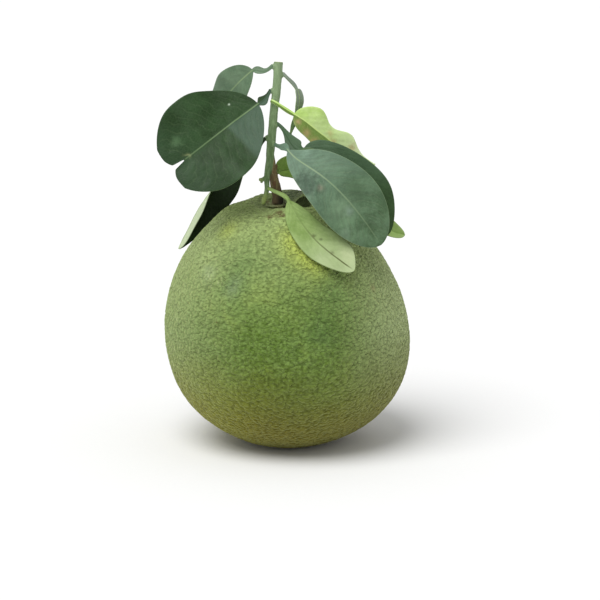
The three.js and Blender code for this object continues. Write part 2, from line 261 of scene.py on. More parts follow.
def makeStudio():
    elevation = math.radians(view["elevation"])
    target = Vector(view["target"]) * millimetre
    away = Vector((0, -math.cos(elevation), math.sin(elevation)))
    camera = bpy.data.objects.new("camera", bpy.data.cameras.new("camera"))
    camera.location = target + away * view["distance"] * millimetre
    camera.rotation_euler = (math.pi / 2 - elevation, 0, 0)
    camera.data.sensor_width = view["sensor"]
    camera.data.lens = view["sensor"] * view["distance"] / view["width"]
    camera.data.clip_end = 50
    bpy.context.scene.collection.objects.link(camera)
    bpy.context.scene.camera = camera

    lamp = bpy.data.lights.new("softbox", "SUN")
    lamp.energy = light["strength"]
    lamp.angle = math.radians(light["spread"])
    softbox = bpy.data.objects.new("softbox", lamp)
    softbox.location = light["from"]
    softbox.rotation_euler = Vector(light["from"]).to_track_quat("Z", "Y").to_euler()
    bpy.context.scene.collection.objects.link(softbox)

    world = bpy.data.worlds.new("studio")
    bpy.context.scene.world = world
    world.use_nodes = True
    background = world.node_tree.nodes["Background"]
    background.inputs["Color"].default_value = (1, 1, 1, 1)
    background.inputs["Strength"].default_value = light["sky"]
    bpy.context.scene.view_settings.view_transform = "Standard"

    corners = [(x * floorReach, y * floorReach, 0) for x, y in ((-1, -1), (1, -1), (1, 1), (-1, 1))]
    floor = meshObject("floor", corners, [(0, 1, 2, 3)])
    material, tree = newMaterial("floorPaper")
    grain = tree.noise(objectPlace(tree), 0.4, 3.0)
    colour = tree.mix(grain, (0.9, 0.9, 0.9, 1), (0.93, 0.93, 0.93, 1))
    finishMaterial(tree, {"Base Color": colour, "Roughness": 0.9, "Specular IOR Level": 0.1})
    floor.data.materials.append(material)
    print("studio ready")


makeStudio()

# Fruit: a leaning body with a sunken crown; polar angles in radians from the crown
fruitShape = {
    "radius": 80.0,
    "crownHeight": 88.0,
    "baseDepth": 78.0,
    "crownPower": 1.98,
    "basePower": 2.17,
    "equatorHeight": 76.6,
    "leanLeft": 3.8,
    "leanFront": 4.0,
    "cavityDepth": 6.5,
    "cavityFloor": 0.05,
    "cavityRim": 0.24,
    "collarHeight": 2.6,
    "collarSide": 0.75,
    "leftShoulder": 2.2,
    "leftTuck": 1.6,
    "rightSag": 8.0,
    "lobes": [(0.7, 2, 0.6), (0.5, 3, -1.1), (0.4, 5, 0.4)],  # height, number around and turn
}
fruitTilts = [math.tan(math.radians(fruitShape[name])) for name in ("leanLeft", "leanFront")]
fruitAxis = Vector((-fruitTilts[0], -fruitTilts[1], 1))
fruitLean = Vector((0, 0, 1)).rotation_difference(fruitAxis.normalized()).to_matrix()


def skinDistance(polar, azimuth, shape):
    # Distance of the skin from the middle of the equator, in the fruit's own leaning frame
    crownward = isAbove(cosine(polar), 0)
    power = shape["basePower"] + (shape["crownPower"] - shape["basePower"]) * crownward
    height = shape["baseDepth"] + (shape["crownHeight"] - shape["baseDepth"]) * crownward
    across = (sine(polar) / shape["radius"]) ** power
    along = (absolute(cosine(polar)) / height) ** power
    body = (across + along) ** (-1 / power)
    waist = sine(polar) ** 2
    lobes = sum(lift * cosine(number * azimuth + turn) for lift, number, turn in shape["lobes"])
    facing = cosine(azimuth - shape["collarSide"])
    collar = shape["collarHeight"] * (0.15 + 1.2 * facing) * bell(polar, shape["cavityRim"], 0.09)
    sunken = 1 - smoothStep(polar, shape["cavityFloor"], shape["cavityRim"])
    cavity = (shape["cavityDepth"] + 2.5 * facing * smoothStep(polar, 0, shape["cavityRim"])) * sunken
    furrows = 0.45 * cosine(7 * azimuth + 1.2) * bell(polar, 0.33, 0.15)
    left = shape["leftShoulder"] * bell(polar, 0.36, 0.16) - shape["leftTuck"] * bell(polar, 2.5, 0.3)
    right = -shape["rightSag"] * waist * (cosine(polar) + 0.15)
    uneven = left * positive(-cosine(azimuth)) ** 2 + right * positive(cosine(azimuth)) ** 2
    return body + lobes * waist + collar - cavity - furrows + uneven


def skinPoint(polar, azimuth, lift=0.0):
    polar, azimuth, lift = np.broadcast_arrays(*map(np.asarray, (polar, azimuth, lift)))
    ways = [np.sin(polar) * np.cos(azimuth), np.sin(polar) * np.sin(azimuth), np.cos(polar)]
    direction = np.stack(ways, -1)
    distance = skinDistance(polar.astype(float), azimuth.astype(float), fruitShape) + lift
    places = (direction * distance[..., None]) @ np.array(fruitLean).T
    return places + np.array([0, 0, fruitShape["equatorHeight"]])


peel = {
    "Grid Vertices": 126,  # along each side of the cube that is blown up to the fruit
    "Wrinkle Height": 0.7,
    "Wrinkle Length": 3.3,
    "Furrow Depth": 0.2,
    "Pebble Spacing": 1.95,
    "Dent Height": 0.6,
    "Radius": fruitShape["radius"],
    "Crown Height": fruitShape["crownHeight"],
    "Base Depth": fruitShape["baseDepth"],
}
peelColours = {
    "deep": (84, 110, 34),
    "fresh": (111, 137, 66),
    "light": (172, 191, 124),
    "pale": (160, 176, 124),
    "blotch": (164, 178, 64),
    "olive": (106, 92, 0),
    "gold": (142, 140, 16),
    "brown": (92, 70, 42),
    "grey": (112, 118, 84),
    "shade": (18, 24, 12),
    "green": (86, 116, 64),
    "haze": (164, 180, 146),
    "yellow": (182, 196, 84),
    "rimShade": (112, 124, 96),
    # painted shade for the cavity's back rim behind the stalk
    "scratch": (186, 194, 146),
    "rust": (150, 116, 88),
}
# Places and widths of marks on the peel
peelMarks = {
    "yellow": [((4, -50, 146), 9), ((9, -56, 139), 9), ((17, -61, 131), 9), ((-36, -31, 147), 7)],
    "green": [((-26, -52, 129), 15), ((-32, -60, 116), 10), ((30, -66, 112), 14), ((22, -74, 88), 12)],
    "haze": [((-33, -61, 114), 5), ((-29, -59, 119), 4), ((-48, -46, 122), 6)],
    "scar": [((-14, -28, 158.5), 3.4), ((-10, -32, 157), 3.2), ((-5, -28, 159), 3.6), ((-2, -33, 157.5), 3)],
    # painted shade: the shaded back rim of the cavity behind the stalk
    "rimShade": [((9, 6, 166), 7), ((1, 7, 165), 8)],
    # painted shade: places in the cavity right of the stalk and under the pale leaf's petiole, where shade
    # and shadow fall
    "paintedShade": [((9, -6.5, 162.3), 5), ((11.5, -11, 163), 5), ((7.5, -17.5, 161.5), 4), ((12.5, -19, 162), 4)],
    "scratch": [((-50, -44, 124), 8), ((-46, -53, 118), 7)],
    "rust": [((57, -44, 113), 2.4)],
}


def rindPattern(tree, place, length, spacing):
    # Wrinkles with pebbles, and the furrows around the pebbles, both 0 to 1, at places in millimetres
    drift = tree.vector("SUBTRACT", tree.noise(place, 0.14, 2.0).output("Color"), (0.5, 0.5, 0.5))
    drawn = tree.vector("MULTIPLY", tree.vector("ADD", place, tree.scaled(drift, 4.0)), (0.78, 0.78, 1.25))
    folds = [tree.noise(tree.vector("ADD", drawn, (shift, 0, 0)), 1 / length, 1.0) - 0.5 for shift in (0, 70)]
    first, second = (1 - smoothStep(absolute(fold), 0.0, 0.12) for fold in folds)
    cells = tree.node("ShaderNodeTexVoronoi", None, {"Vector": drawn, "Scale": 1 / spacing})
    pebbles = 1 - smoothStep(cells, 0.2, 0.75)
    return first.maths("MAXIMUM", first, second) * 0.45 + pebbles * 0.55, smoothStep(cells, 0.48, 0.8)


def peelMaterial():
    material, tree = newMaterial("peelSkin")
    place = objectPlace(tree)
    x, _, z = tree.parts(place)
    polar = attributeOf(tree, "polar")
    ridges, furrow = rindPattern(tree, place, peel["Wrinkle Length"], peel["Pebble Spacing"])

    broad = tree.noise(place, 0.018, 3.0, 0.55)
    patchy = tree.noise(place, 0.055, 4.0, 0.6, 0.4)
    fine = tree.noise(place, 0.42, 3.0, 0.6)
    specks = tree.noise(place, 1.3, 2.0, 0.5)

    tones = {name: screenColour(*tint) for name, tint in peelColours.items()}

    def marked(kind, ragged):
        total = 0
        for spot, width in peelMarks[kind]:
            total = bell(tree.between(place, spot) + ragged * width, 0.0, width) + total
        return total

    def stained(colour, kind, ragged, strength):
        return tree.mix(marked(kind, ragged) * strength, colour, tones[kind])

    colour = tree.mix(smoothStep(fine + 0.6 * (broad - 0.5), 0.34, 0.7), tones["deep"], tones["fresh"])
    # The upper shoulders are lighter: partly the fruit's own yellower tint, partly painted light from above.
    shoulder = smoothStep(z - 0.12 * x + 26 * (patchy - 0.5), 90.0, 168.0)
    colour = tree.mix(shoulder * 0.75, colour, tones["light"])
    # Towards the base the peel turns olive and gold: the fruit's own tint, deepened by painted shade.
    baseTintAndShade = 1 - smoothStep(z - 0.06 * x + 26 * (broad - 0.5), 2.0, 84.0)
    # Painted light: the right rim is paled as a painted sheen, and the left side is paled as painted light
    # from the left.
    rightRimSheen = smoothStep(x, 24.0, 74.0) * (1 - baseTintAndShade)
    colour = tree.mix(rightRimSheen * 0.8, colour, tones["pale"])
    leftLitSide = smoothStep(-x + 14 * (patchy - 0.5), 20.0, 76.0)
    colour = tree.mix(leftLitSide * 0.45, colour, tones["pale"])
    blotches = smoothStep(patchy + 0.55 * (broad - 0.5), 0.54, 0.8)
    colour = tree.mix(blotches * 0.12, colour, tones["blotch"])
    colour = stained(colour, "green", patchy - 0.5, 0.4)
    colour = stained(colour, "haze", 1.4 * (fine - 0.5), 0.3)
    colour = stained(colour, "yellow", 1.2 * (patchy - 0.5), 0.5)
    colour = tree.mix(baseTintAndShade * 0.9, colour, tones["olive"])
    colour = tree.mix(baseTintAndShade * smoothStep(-x, 0.0, 55.0) * 0.6, colour, tones["gold"])
    # Ridges lighter and furrows darker: partly the rind's own tone, partly painted shade of the relief. The
    # base is darkened a little more as painted shade.
    colour = tree.scaled(colour, (0.82 + 0.36 * ridges - 0.14 * furrow) * (1 - 0.06 * baseTintAndShade))

    crown = (1 - smoothStep(polar + 0.16 * (fine - 0.5), 0.1, 0.3)) * smoothStep(fine, 0.34, 0.62)
    colour = tree.mix(crown * 0.7, colour, tones["grey"])
    # Painted shade: darkens the back rim of the cavity behind the stalk.
    colour = stained(colour, "rimShade", 0.8 * (fine - 0.5), 0.85)
    scar = smoothStep(marked("scar", 2.4 * (fine - 0.5)) + 1.1 * (specks - 0.5), 0.35, 0.85)
    colour = tree.mix(scar * 0.8, colour, tones["brown"])
    streak = tree.noise(tree.vector("MULTIPLY", place, (1.3, 0.2, 0.45)), 0.5, 2.0, 0.6)
    scratch = smoothStep(streak, 0.52, 0.66) * marked("scratch", 0.6 * (fine - 0.5))
    colour = tree.mix(scratch * 0.4, colour, tones["scratch"])
    colour = stained(colour, "rust", 0.8 * (fine - 0.5), 0.7)

    dots = tree.node("ShaderNodeTexVoronoi", None, {"Vector": place, "Scale": 0.13, "Randomness": 1.0})
    dotSize = tree.noise(place, 0.09, 1.0)
    dotted = (1 - smoothStep(dots, 0.04, 0.09)) * isAbove(dotSize, 0.53)
    colour = tree.mix(dotted * 0.6, colour, tones["brown"])

    grain = tree.noise(place, 0.95, 3.0, 0.65)
    relief = ridges * 0.45 - furrow * 0.18 + grain * 0.3
    normal = tree.node("ShaderNodeBump", None, {"Strength": 1.0, "Distance": 0.0015, "Height": relief})
    roughness = 0.48 + 0.16 * grain + 0.1 * furrow
    settings = {"Base Color": colour, "Roughness": roughness, "Normal": normal}
    sheen = {"Sheen Weight": 0.42, "Sheen Roughness": 0.4, "Sheen Tint": (0.9, 1, 0.4, 1)}
    skin = tree.node("ShaderNodeBsdfPrincipled", None, {**settings, **sheen, "Specular IOR Level": 0.22})
    shade = {"Base Color": tones["shade"], "Roughness": 0.9, "Specular IOR Level": 0.0}
    shade = tree.node("ShaderNodeBsdfPrincipled", None, shade)
    # Painted shade: a dark matte shader is mixed in over the cavity right of the stalk and under the pale
    # leaf's petiole, standing in for shade and cast shadow.
    paintedShade = smoothStep(marked("paintedShade", 0.8 * (fine - 0.5)), 0.25, 0.7)
    both = tree.node("ShaderNodeMixShader", None, {0: paintedShade * 0.9, 1: skin, 2: shade})
    tree.node("ShaderNodeOutputMaterial", None, {"Surface": both})
    return material


def makePeel():
    tree, _, sizes = geometryTree("peelRelief", peel)
    count = sizes["Grid Vertices"]
    cube = {"Size": (2, 2, 2), "Vertices X": count, "Vertices Y": count, "Vertices Z": count}
    cube = tree.node("GeometryNodeMeshCube", None, cube)
    spread = tree.vector("TANGENT", tree.scaled(tree.node("GeometryNodeInputPosition"), math.pi / 4))
    direction = tree.vector("NORMALIZE", spread)
    x, y, z = tree.parts(direction)
    polar = z.maths("ARCCOSINE", z)
    azimuth = y.maths("ARCTAN2", y, x)
    measured = {"radius": sizes["Radius"], "crownHeight": sizes["Crown Height"]}
    distance = skinDistance(polar, azimuth, {**fruitShape, **measured, "baseDepth": sizes["Base Depth"]})

    def placed(reach):
        spot = tree.scaled(direction, reach)
        turned = [tree.node("ShaderNodeVectorMath", {"operation": "DOT_PRODUCT"}, {0: spot, 1: tuple(row)}, 1)
                  for row in fruitLean]
        return turned[0], turned[1], turned[2] + fruitShape["equatorHeight"]

    skin = tree.joined(*placed(distance))
    ridges, furrow = rindPattern(tree, skin, sizes["Wrinkle Length"], sizes["Pebble Spacing"])
    dents = tree.noise(skin, 0.055, 2.0, 0.5) - 0.5
    worn = 0.6 + 0.4 * smoothStep(z, -0.75, 0.0)  # the skin is smoother towards the base
    relief = ((ridges - 0.5) * sizes["Wrinkle Height"] - furrow * sizes["Furrow Depth"]) * worn
    across, inward, height = placed(distance + relief + dents * sizes["Dent Height"])
    resting = tree.joined(across, inward, positive(height))
    store = {"data_type": "FLOAT", "domain": "POINT"}
    body = tree.node("GeometryNodeStoreNamedAttribute", store, {0: cube, "Name": "polar", 3: polar})
    body = tree.node("GeometryNodeSetPosition", None, {0: body, "Position": tree.scaled(resting, millimetre)})
    body = tree.node("GeometryNodeSetShadeSmooth", None, {0: body})
    endTree(tree, body, peelMaterial())
    finishPiece(grown(meshObject("peelSeed", [(0, 0, 0)], []), "peelSkin", tree, peel), "fruit")


makePeel()


# Twig: each limb is a curve downwards through points, each with its own radius
limbs = {
    "stem": {
        "line": [
            (-4.9, -6, 252), (-6.2, -7, 234), (-7.8, -8, 221.5), (-8.9, -8.5, 208.5),
            (-10.1, -9, 196), (-10.8, -10, 188.5), (-12.2, -12, 181.8), (-12.5, -13.6, 176),
            (-12.4, -15.4, 171), (-14, -17.4, 164.6),
        ],
        "radii": [2.95, 2.8, 2.75, 2.8, 2.75, 2.35, 1.9, 1.75, 1.6, 1.35],
    },
    "stalk": {
        "line": [
            (-9.9, -9, 194), (-9.3, -8.7, 186), (-8.4, -8.1, 178.5), (-6.7, -7, 170.5), (-5.7, -6.2, 165.5),
            tuple(skinPoint(0, 0, 2.8)),
        ],
        "radii": [2, 2.6, 2.9, 3.3, 3.5, 3.7],
    },
    "longStub": {
        "line": [(-12.6, -13, 179.2), (-15.6, -14.4, 177.2), (-17.4, -15, 177.4)],
        "radii": [1.1, 1.2, 0.85],
    },
    "shortStub": {
        "line": [(-14.4, -13.9, 177.9), (-16.2, -14.8, 175.2)],
        "radii": [0.9, 0.8],
    },
}
shootBud = {"place": (-14.4, -17.6, 164.4), "way": (-0.3, -0.25, -1), "width": 3.1, "length": 6.2}


def limbPlace(limb, share):
    # Centripetal Catmull-Rom for the line, uniform for the radii
    points = [np.array(point, float) for point in limb["line"]]
    radii = limb["radii"]
    last = len(points) - 1
    index = min(int(last * share), last - 1)
    weight = last * share - index
    before = points[index - 1] if index > 0 else 2 * points[0] - points[1]
    after = points[index + 2] if index + 2 <= last else 2 * points[-1] - points[-2]
    near, far = points[index], points[index + 1]
    gaps = [np.linalg.norm(b - a) ** 0.5 for a, b in ((before, near), (near, far), (far, after))]
    leave = (near - before) / gaps[0] - (far - before) / (gaps[0] + gaps[1]) + (far - near) / gaps[1]
    reach = (far - near) / gaps[1] - (after - near) / (gaps[1] + gaps[2]) + (after - far) / gaps[2]
    leave, reach = leave * gaps[1], reach * gaps[1]
    place = (near + leave * weight + (3 * (far - near) - 2 * leave - reach) * weight**2
             + (2 * (near - far) + leave + reach) * weight**3)
    first, second = radii[index], radii[index + 1]
    leave = (second - radii[max(index - 1, 0)]) / 2
    reach = (radii[min(index + 2, last)] - first) / 2
    radius = (first + leave * weight + (3 * (second - first) - 2 * leave - reach) * weight**2
              + (2 * (first - second) + leave + reach) * weight**3)
    return place, radius


def nodeOn(limb, height, side):
    # The middle, radius and outward side of a node at a height on a limb
    above, below = 0.0, 1.0
    for _ in range(20):
        share = (above + below) / 2
        if limbPlace(limbs[limb], share)[0][2] > height:
            above = share
        else:
            below = share
    place, radius = limbPlace(limbs[limb], above)
    return place, radius, np.array(side) / np.linalg.norm(side)


# Leaves: the line runs foot handle, joint, rise, run, tip; facing is where the upper face looks, at
# joint and tip; half the blade's half width, wing what the petiole's wing adds, fold in degrees.
# A spot is a run and reach from the joint, a width, a colour and a strength; the colour for one side
# of the midrib, up to a share of the blade with a soft end, is painted light: a painted reflection band
# on the large left leaf and painted shade on the yellow leaf.
leaves = [
    {
        "name": "leaf_upper_left", "slot": "leaf_grey_green", "node": ("stem", 247.6, (-1, -0.25, 0.3)),
        "line": [
            (-14.8, -7, 243.8), (-21.4, -4, 246.2), (-27.8, 0, 241.7), (-37.8, 7, 229.9), (-48.4, 10, 216.5),
        ],
        "facing": [(-0.2, -0.9, 0.4), (-0.3, -0.8, 0.5)],
        "half": 13.5, "wing": 1.3, "fold": 8, "curl": 0.004,
        "wave": 0.8, "waves": 2.2, "widest": 0.9, "blunt": 0.7,
        "upper": (96, 121, 92), "deep": (80, 106, 78), "paintedSheen": (112, 134, 112), "under": (128, 150, 110),
        "vein": (132, 155, 110), "paintedSheenFrom": (0.2, 1.2), "gloss": 0.42, "shine": 0.4,
    },
    {
        "name": "leaf_large_left", "slot": "leaf_dark", "node": ("stem", 232.4, (-1, -0.4, 0.2)),
        "line": [
            (-12.9, -11, 229.5), (-17.8, -14, 225.9), (-41, -22, 210.6), (-50, -33.6, 203.2), (-73, -38, 187),
        ],
        "facing": [(-0.25, -0.9, 0.35), (-0.1, -0.95, 0.25)],
        "half": 33.4, "wing": 2.4, "fold": 5, "curl": 0.002,
        "wave": 1.3, "waves": 2.5, "widest": 1.13, "blunt": 0.49,
        "end": {"cut": 0.94, "round": 0.8, "dip": 3.9, "notch": 6.5, "notchShare": 0.08},
        "upper": (41, 69, 33), "deep": (28, 54, 18), "paintedSheen": (46, 70, 46), "under": (130, 152, 112),
        "vein": (116, 142, 96), "paintedSheenFrom": (0.5, 1.3), "gloss": 0.4, "shine": 0.22,
        "paintedHalfLight": (-1, 0.355, 0.03, (64, 88, 68)),
        "spots": [
            (15, 11, 0.6, (206, 222, 200), 0.9), (60, 1, 1.6, (150, 160, 110), 0.6),
            (58, 12, 3, (96, 130, 88), 0.5),
        ],
    },
    {
        "name": "leaf_folded_left", "slot": "leaf_dark", "node": ("stem", 202.6, (-1, -0.15, 0)),
        "line": [
            (-18.9, -5, 196.3), (-24.2, 1, 190.9), (-37.6, 13, 179.2), (-54, 29, 164), (-72, 36.5, 122.2),
        ],
        "facing": [(0.3, -0.9, 0.2), (0.77, -0.34, -0.55)],
        "half": 15.5, "wing": 2.4, "fold": 44, "curl": 0.006,
        "wave": 0.7, "waves": 2, "widest": 1, "blunt": 0.7,
        "upper": (24, 42, 16), "deep": (14, 28, 8), "paintedSheen": (34, 54, 24), "under": (196, 210, 172),
        "vein": (84, 104, 62), "paintedSheenFrom": (1.4, 0.9), "gloss": 0.45, "shine": 0.2,
    },
    {
        "name": "leaf_edge_right", "slot": "leaf_grey_green", "node": ("stem", 242.2, (1, 0.1, 0.35)),
        "line": [(2.8, -6, 239.5), (6.7, -4, 234.1), (11, -4, 224.3), (4.1, -2, 214.6), (2.6, 0, 203)],
        "facing": [(0.8, -0.6, 0.1), (0.6, -0.8, 0.1)],
        "half": 3.6, "wing": 0.35, "fold": 14, "curl": 0.012,
        "wave": 0.5, "waves": 2, "widest": 0.4, "blunt": 0.7,
        "upper": (112, 140, 92), "deep": (92, 120, 74), "paintedSheen": (134, 146, 132), "under": (150, 176, 112),
        "vein": (150, 178, 116), "paintedSheenFrom": (0.5, 0.0), "gloss": 0.42, "shine": 0.4,
    },
    {
        "name": "leaf_yellow_right", "slot": "leaf_young", "node": ("stem", 226.4, (-0.3, -1, 0.2)),
        "line": [
            (-4.5, -15, 225.9), (5.1, -13, 219), (18, -13.5, 212.9), (31.8, -10, 194.2), (57.5, -2, 185.1),
        ],
        "facing": [(0.05, -0.9, 0.45), (0.2, -0.75, 0.6)],
        "half": 11.8, "wing": 0.35, "fold": 20, "curl": 0.006,
        "wave": 1.8, "waves": 1.87, "widest": 0.55, "blunt": 0.91,
        "ripple": 0.285, "phase": 1.56,
        "upper": (196, 222, 142), "deep": (178, 210, 112), "paintedSheen": (222, 238, 190), "under": (186, 206, 140),
        "vein": (206, 226, 140), "paintedSheenFrom": (0.1, 0.8), "gloss": 0.46, "shine": 0.4,
        "paintedHalfLight": (1, 0.62, 0.15, (82, 112, 26)),
        "spots": [
            (4.5, 4, 2.4, (170, 150, 106), 0.8), (12.6, 7, 3, (160, 140, 92), 0.8),
            (20, 9, 3, (158, 136, 88), 0.7), (31, 0, 2.4, (190, 166, 110), 0.7),
            (44, -4, 2.6, (184, 158, 106), 0.7), (49, -8, 2.2, (188, 166, 118), 0.6),
            (26, -4, 2, (196, 176, 116), 0.5),
        ],
    },
    {
        "name": "leaf_behind_right", "slot": "leaf_dark", "node": ("stem", 210, (0.9, -0.3, 0.5)),
        "line": [
            (2.4, -13.6, 207.2), (11.5, -22.5, 198), (25, -28, 203.7), (34.5, -36, 172), (66, -33.5, 145.4),
        ],
        "facing": [(-0.2, -0.85, 0.5), (-0.25, -0.8, 0.6)],
        "half": 23.6, "wing": 4.2, "fold": 10, "curl": 0.003,
        "wave": 0.8, "waves": 2, "widest": 1.31, "blunt": 0.59,
        "upper": (50, 78, 38), "deep": (38, 64, 25), "paintedSheen": (70, 96, 68), "under": (124, 146, 104),
        "vein": (92, 118, 72), "paintedSheenFrom": (0.85, 0.45), "gloss": 0.45, "shine": 0.25,
    },
    {
        "name": "leaf_front_right", "slot": "leaf_grey_green", "node": ("stem", 198.6, (0.7, -0.8, 0.2)),
        "line": [(-3.3, -18, 198.1), (1.3, -27, 198), (12.2, -40, 185.7), (26.4, -57, 194), (60, -48, 140.8)],
        "facing": [(-0.2, -0.85, 0.5), (-0.25, -0.75, 0.65)],
        "half": 20.8, "wing": 1.6, "fold": 9, "curl": 0.003,
        "wave": 0.9, "waves": 2.2, "widest": 1.33, "blunt": 0.56,
        "upper": (88, 116, 84), "deep": (58, 84, 50), "paintedSheen": (102, 128, 108), "under": (134, 156, 116),
        "vein": (138, 160, 120), "paintedSheenFrom": (0.9, 0.0), "gloss": 0.4, "shine": 0.3, "veined": 0.16,
        "midrib": (0.8, 0.2), "reflectionMottle": 0.8, "rimmed": 0.5,
        # The pale grey-blue spots here are painted highlights; the brownish spot is a blemish.
        "spots": [
            (36.5, 7, 2, (150, 138, 120), 0.6), (60, 4, 2.4, (150, 172, 158), 0.5),
            (70, 15, 5, (124, 148, 122), 0.4), (28, 10, 9, (42, 70, 46), 0.85),
            (52, -8, 7, (66, 92, 60), 0.5), (12, -9, 6, (122, 148, 128), 0.5),
            (56, 6, 8, (112, 136, 106), 0.5),
        ],
    },
    {
        "name": "leaf_pale_front", "slot": "leaf_young", "node": ("stem", 171.6, (0.6, -0.8, 0)),
        "line": [
            (-5.9, -21, 169.5), (1.6, -27, 165.6), (14.3, -51, 145.8), (19.2, -58.5, 143), (42.9, -60, 126.6),
        ],
        "facing": [(0.15, -0.8, 0.6), (0.3, -0.8, 0.5)],
        "half": 11.7, "wing": 0.35, "fold": 4, "curl": -0.004,
        "wave": 0.6, "waves": 2.4, "widest": 1.13, "blunt": 0.56,
        "shoulder": -4.6,
        "upper": (144, 170, 98), "deep": (120, 148, 72), "paintedSheen": (182, 198, 150), "under": (158, 178, 116),
        "vein": (84, 92, 42), "paintedSheenFrom": (0.3, 1.05), "gloss": 0.5, "shine": 0.4,
        "veined": 0.04, "reflectionMottle": 0.2, "midrib": (0.1, 1.0),
        "spots": [
            (34, -1, 1.2, (84, 92, 46), 0.8), (39, -3, 1, (76, 86, 40), 0.8),
            (51, -1, 1.2, (92, 96, 52), 0.7), (50, 6, 6, (172, 186, 140), 0.5),
            (60, -6, 5, (186, 196, 150), 0.5),
        ],
    },
    {
        "name": "leaf_low_right", "slot": "leaf_young", "node": ("stalk", 183.4, (0.8, 0.6, 0)),
        "line": [(-4.6, -2, 180.9), (-5.4, 3, 178.9), (20, 9, 190), (58, 4, 138), (77.2, -4, 139.2)],
        "facing": [(-0.1, -0.85, 0.5), (0.2, -0.85, 0.3)],
        "half": 12.5, "wing": 0.35, "fold": 38, "curl": 0.004,
        "wave": 0.7, "waves": 2.2, "widest": 0.64, "blunt": 0.38,
        "upper": (140, 170, 86), "deep": (114, 146, 62), "paintedSheen": (160, 186, 114), "under": (150, 172, 110),
        "vein": (74, 96, 44), "paintedSheenFrom": (0.3, 1.0), "gloss": 0.46, "shine": 0.3,
    },
]
bladeSizes = {
    "thickness": 0.8,
    "petioleRadius": 1.05,
    "mesh": 0.75,  # spacing of the blade's points
    "footRun": 1.5,  # how far the petiole runs into its swelling
}
veinSizes = {
    "Vein Spacing": 6.2,
    "Vein Tilt": 0.24,
    "Vein Ridge": 0.09,
    "Quilt Height": 0.12,
    "Unevenness": 0.8,
}


def evenBezier(controls):
    # Points and directions of a cubic curve at even shares of its length
    a, b, c, d = (np.array(point, float) for point in controls)

    def at(t):
        t = np.asarray(t)[..., None]
        place = a * (1 - t) ** 3 + 3 * b * t * (1 - t) ** 2 + 3 * c * t**2 * (1 - t) + d * t**3
        way = 3 * (b - a) * (1 - t) ** 2 + 6 * (c - b) * t * (1 - t) + 3 * (d - c) * t**2
        return place, way / np.maximum(np.linalg.norm(way, axis=-1, keepdims=True), 1e-9)

    steps = np.linspace(0, 1, 201)
    lengths = np.concatenate([[0], np.cumsum(np.linalg.norm(np.diff(at(steps)[0], axis=0), axis=1))])
    return lambda share: at(np.interp(share, lengths / lengths[-1], steps)), lengths[-1]


def bladeRows(leaf):
    # Place, direction, rib radius, half width and shares of each row of a leaf
    handle, joint, rise, run, tip = (np.array(point, float) for point in leaf["line"])
    middle, radius, outward = nodeOn(*leaf["node"])
    foot = middle + outward * (radius * 1.25 + 1.1)
    approach = joint + (joint - rise) / np.linalg.norm(joint - rise) * np.linalg.norm(joint - foot) * 0.35
    petiole, petioleLength = evenBezier((foot, handle, approach, joint))
    blade, bladeLength = evenBezier((joint, rise, run, tip))
    rib = bladeSizes["petioleRadius"]
    rows = []
    for back in (1.0, 0.5):
        place, way = petiole(0.0)
        rows.append((place - way * back * bladeSizes["footRun"], way, rib, rib + 0.1, -1.0, 0.0, 0.0))
    count = max(10, round(petioleLength / bladeSizes["mesh"]))
    for share in np.arange(count) / count:
        place, way = petiole(share)
        half = rib + 0.1 + leaf["wing"] * math.sin(math.pi * share**2) ** 1.3
        rows.append((place, way, rib, half, share - 1, share, 0.0))
    count = round(bladeLength / bladeSizes["mesh"])
    for even in np.arange(count + 1) / count:
        share = even - 0.11 * math.sin(2 * math.pi * even)
        place, way = blade(share)
        thin = rib + (0.4 - rib) * share
        cut = leaf["end"]["cut"] if "end" in leaf else 1
        swell = max(0.0, math.sin(math.pi * min(1, share * cut) ** leaf["widest"])) ** leaf["blunt"]
        width = max(leaf["half"] * swell, thin + 0.1)
        rows.append((place, way, thin, width, share, 1.0, bladeLength * share))
    return rows, bladeLength


